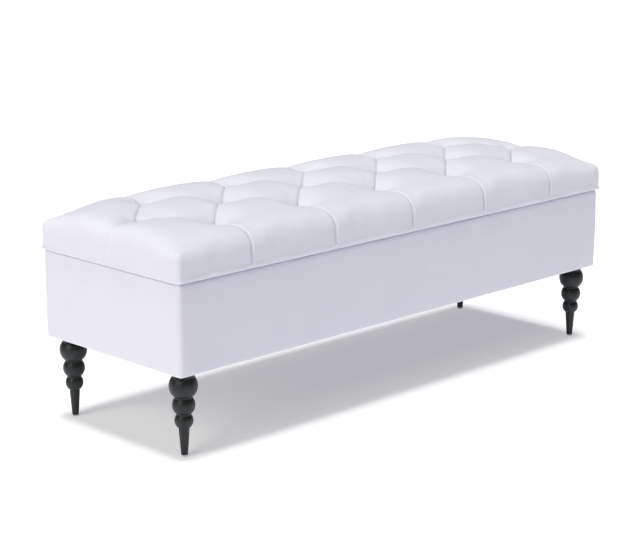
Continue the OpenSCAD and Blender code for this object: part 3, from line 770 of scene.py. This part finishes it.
def woven(name, dark, light, threads=900, roughness=0.9):
    """A plain weave: two sets of threads crossing over and under."""
    m = Shader(name, light, roughness, Specular_IOR_Level=0.2, Sheen_Weight=0.15, Sheen_Roughness=0.5)
    waves = []
    for direction in ("X", "Y", "Z"):
        w = m.node("ShaderNodeTexWave", Vector=m.place, Scale=threads / 20, Distortion=0.6, Detail=1.0)
        w.wave_type = "BANDS"
        w.bands_direction = direction
        w.inputs["Detail Scale"].default_value = 2.0
        waves.append(w.outputs["Fac"])
    weave = m.math("MULTIPLY", m.math("MAXIMUM", waves[0], waves[1]), m.math("MAXIMUM", waves[1], waves[2]))
    slub = m.noise(35, detail=4, place=m.stretched((1, 6, 6)))
    m.color(m.tint(m.math("MULTIPLY", weave, m.ramp(slub, 0.7, 1.0)), dark, light))
    m.bump(weave, 0.0003, 0.6)
    return m.material


def wadding():
    m = Shader("wadding_white", (0.86, 0.86, 0.84), 0.95, Sheen_Weight=0.2)
    fluff = m.noise(220, detail=6, roughness=0.7)
    m.color(m.tint(fluff, (0.78, 0.78, 0.76), (0.9, 0.9, 0.88)))
    m.bump(fluff, 0.0012, 0.7)
    return m.material


def foam():
    m = Shader("foam_cream", (0.85, 0.79, 0.58), 0.9, Specular_IOR_Level=0.2)
    cells = m.node("ShaderNodeTexVoronoi", Vector=m.place, Scale=700.0)
    m.color(m.tint(cells.outputs["Distance"], (0.72, 0.64, 0.42), (0.88, 0.82, 0.62)))
    m.bump(cells.outputs["Distance"], 0.0006, 0.8)
    return m.material


def felt():
    m = Shader("felt_grey", (0.2, 0.2, 0.21), 0.95, Sheen_Weight=0.3)
    hair = m.noise(1400, detail=5, roughness=0.7)
    m.color(m.tint(hair, (0.13, 0.13, 0.14), (0.3, 0.3, 0.31)))
    m.bump(hair, 0.0004, 0.8)
    return m.material


def twine():
    m = Shader("twine_waxed", (0.75, 0.7, 0.58), 0.6, Specular_IOR_Level=0.4)
    lay = m.node("ShaderNodeTexWave", Vector=m.stretched((1, 1, 0.6)), Scale=300.0, Distortion=1.0)
    lay.bands_direction = "DIAGONAL"
    m.color(m.tint(lay.outputs["Fac"], (0.6, 0.53, 0.4), (0.82, 0.78, 0.66)))
    m.bump(lay.outputs["Fac"], 0.0003, 0.8)
    return m.material


def plywood():
    m = Shader("birch_plywood", (0.62, 0.45, 0.27), 0.6, Specular_IOR_Level=0.35)
    grain = m.noise(14, detail=6, roughness=0.65, place=m.stretched((0.12, 1.6, 1.6)), distortion=1.2)
    fine = m.noise(300, detail=3, place=m.stretched((0.04, 1, 1)))
    m.color(m.tint(m.math("ADD", m.math("MULTIPLY", grain, 0.75), m.math("MULTIPLY", fine, 0.3)),
                   (0.44, 0.29, 0.15), (0.72, 0.55, 0.35)))
    m.rough(m.ramp(fine, 0.5, 0.68))
    m.bump(fine, 0.0002, 0.5)
    return m.material


def black_lacquer():
    m = Shader("turned_wood_black", (0.012, 0.016, 0.018), 0.36, Specular_IOR_Level=0.26,
               Coat_Weight=0.06, Coat_Roughness=0.22)
    grain = m.noise(40, detail=5, roughness=0.6, place=m.stretched((1.0, 1.0, 0.08)), distortion=0.4)
    pores = m.noise(420, detail=3, place=m.stretched((1.0, 1.0, 0.05)))
    lathe = m.noise(900, detail=1, place=m.stretched((0.002, 0.002, 1.0)))
    rubbed = m.noise(6, detail=4, roughness=0.6)
    m.color(m.tint(m.math("MULTIPLY", grain, rubbed), (0.008, 0.011, 0.012), (0.030, 0.037, 0.040)))
    m.rough(m.math("ADD", m.ramp(rubbed, 0.26, 0.40), m.math("MULTIPLY", pores, 0.1)))
    m.bump(grain, 0.0004, 0.35)
    m.bump(pores, 0.00012, 0.4)
    m.bump(lathe, 0.00008, 0.3)
    return m.material


def metal(name, color, roughness, scratch, metallic=1.0, direction=(1, 1, 1)):
    m = Shader(name, color, roughness, Metallic=metallic)
    lines = m.noise(600, detail=3, place=m.stretched(direction))
    stains = m.noise(45, detail=4)
    m.color(m.tint(stains, tuple(c * 0.82 for c in color), color))
    m.rough(m.math("ADD", m.ramp(stains, roughness * 0.8, roughness * 1.15),
                   m.math("MULTIPLY", lines, scratch)))
    m.bump(lines, 0.00006, 0.5)
    return m.material


def studio_white(name, reflects, glow):
    """White that shines a little of its own; what it reflects is mottled by a hundredth."""
    m = Shader(name, (reflects,) * 3, 0.7, Specular_IOR_Level=0.1,
               Emission_Color=(0.98, 0.98, 1.05, 1), Emission_Strength=glow)
    m.color(m.tint(m.noise(3, detail=3), (reflects * 0.995,) * 3, (reflects * 1.005,) * 3))
    return m.material


MATERIALS = {
    "velvet": velvet(),
    "wadding": wadding(),
    "lining": woven("lining_cotton", (0.62, 0.62, 0.64), (0.80, 0.80, 0.82)),
    "dust_cloth": woven("dust_cloth_black", (0.012, 0.012, 0.013), (0.035, 0.035, 0.037), threads=700),
    "felt": felt(),
    "foam": foam(),
    "twine": twine(),
    "timber": plywood(),
    "black_lacquer": black_lacquer(),
    "zinc_steel": metal("zinc_plated_steel", (0.62, 0.63, 0.65), 0.34, 0.12, direction=(0.05, 1, 1)),
    "black_steel": metal("black_painted_steel", (0.02, 0.02, 0.022), 0.42, 0.08, metallic=0.0),
    "polished_steel": metal("polished_steel", (0.72, 0.73, 0.75), 0.12, 0.03, direction=(1, 0.05, 0.05)),
}

SLOT_OF = {part["node"]: part["material_slot"] for part in frame["record"]["subparts"]}
for name, obj in frame["nodes"].items():
    obj.data.materials.clear()
    obj.data.materials.append(MATERIALS[SLOT_OF[name]])


# ---------------------------------------------------------------- putting the pieces in place

def place(obj, body, slot_name, *nodes):
    """Gives a piece its material, and the body that it rides on, and hides the CAD nodes it stands for."""
    obj.data.materials.clear()
    obj.data.materials.append(MATERIALS[slot_name])
    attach(obj, body)
    if nodes:
        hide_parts(*nodes)
    return obj


place(lid_cover(), "lid", "velvet", "lid_cover")
place(lid_foam(), "lid", "foam", "lid_foam")

cover = place(base_cover(), "base", "velvet", "base_cover")
place(base_wadding(), "base", "wadding", "base_wadding")

lining = place(box_lining(), "base", "lining", "box_lining")

LAP = 0.007                              # how far the lid's lining laps over the velvet's turned-under edge
CLEAR, HEM = 0.0006, 0.0004              # of a cloth from the board or frame, and thickness of its hem

lid_lining = sheet_grid("lid_lining_cloth", LID_LINING_LOW - LAP, LID_LINING_HIGH + LAP, LID_Z - CLEAR,
                        hem=HEM)
place(lid_lining, "lid", "lining", "lid_lining")

dust = sheet_grid("dust_cover_cloth", DUST_LOW, DUST_HIGH, DUST_LOW[2] + CLEAR, sag=-CLEAR, hem=HEM)
place(dust, "base", "dust_cloth", "dust_cover")

BUMPER_LOW, BUMPER_HIGH = (np.array(c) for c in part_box("lid_bumpers"))
BUMPER_AT = [(x, y) for x in (BUMPER_LOW[0] + BUMPER_R, BUMPER_HIGH[0] - BUMPER_R)
             for y in (BUMPER_LOW[1] + BUMPER_R, BUMPER_HIGH[1] - BUMPER_R)]
bumpers = [bumper(f"lid_bumper_{k}", x, y, BUMPER_LOW[2], BUMPER_HIGH[2])
           for k, (x, y) in enumerate(BUMPER_AT)]
place(bumpers[0], "base", "felt", "lid_bumpers")
for pad in bumpers[1:]:
    place(pad, "base", "felt")

# ---------------------------------------------------------------- studio

def backdrop(radius=14.0, height=3.4, count=96):
    """A low white wall all round the floor, far behind the bench."""
    angles = np.linspace(0, 2 * math.pi, count, endpoint=False)
    circle = radius * np.column_stack([np.cos(angles), np.sin(angles)])
    points = np.vstack([np.column_stack([circle, np.full(count, z)]) for z in (0.0, height)])
    return mesh_object("studio_backdrop_wall", points,
                       [(i, (i + 1) % count, count + (i + 1) % count, count + i) for i in range(count)])


FLOOR_HALF = 15
FLOOR_WHITE = (0.9, 0.415)               # how much the floor reflects, and how much it shines
WALL_WHITE = (0.02, 0.4)

studio_floor = sheet_grid("studio_floor_plane", (-FLOOR_HALF, -FLOOR_HALF), (FLOOR_HALF, FLOOR_HALF), 0.0,
                          spacing=1.0)
for piece, (reflects, glow) in ((studio_floor, FLOOR_WHITE), (backdrop(), WALL_WHITE)):
    piece.data.materials.append(studio_white(piece.name, reflects, glow))

world = bpy.data.worlds.new("studio")
bpy.context.scene.world = world
world.use_nodes = True
sky = world.node_tree.nodes["Background"].inputs
sky["Color"].default_value = (0.72, 0.86, 1.0, 1)
sky["Strength"].default_value = 0.01


def soft_sun(name, towards, angle, strength, color):
    """Parallel light from the direction towards, softened over an angle in degrees."""
    light = bpy.data.lights.new(name, "SUN")
    light.angle = math.radians(angle)
    light.energy = strength
    light.color = color
    obj = bpy.data.objects.new(name, light)
    obj.rotation_euler = Vector(towards).to_track_quat("Z", "Y").to_euler()
    bpy.context.collection.objects.link(obj)


soft_sun("overhead_light", (0.0, 0.0, 1.0), angle=20, strength=2.66, color=(0.99, 1.0, 1.0))
soft_sun("side_light", (-0.84, -0.07, 0.53), angle=40, strength=1.36, color=(1.0, 0.965, 0.84))

CAMERA_AT = (-3.0116, -2.9689, 1.3033)
CAMERA_AIM = (-0.0128, 0.0571, 0.2287)
camera_data = bpy.data.cameras.new("camera")
camera_data.sensor_width = 36
camera_data.lens = 102.34
camera = bpy.data.objects.new("camera", camera_data)
camera.location = CAMERA_AT
camera.rotation_euler = (Vector(CAMERA_AIM) - Vector(CAMERA_AT)).to_track_quat("-Z", "Y").to_euler()
bpy.context.collection.objects.link(camera)
bpy.context.scene.camera = camera
bpy.context.scene.view_settings.view_transform = "Standard"
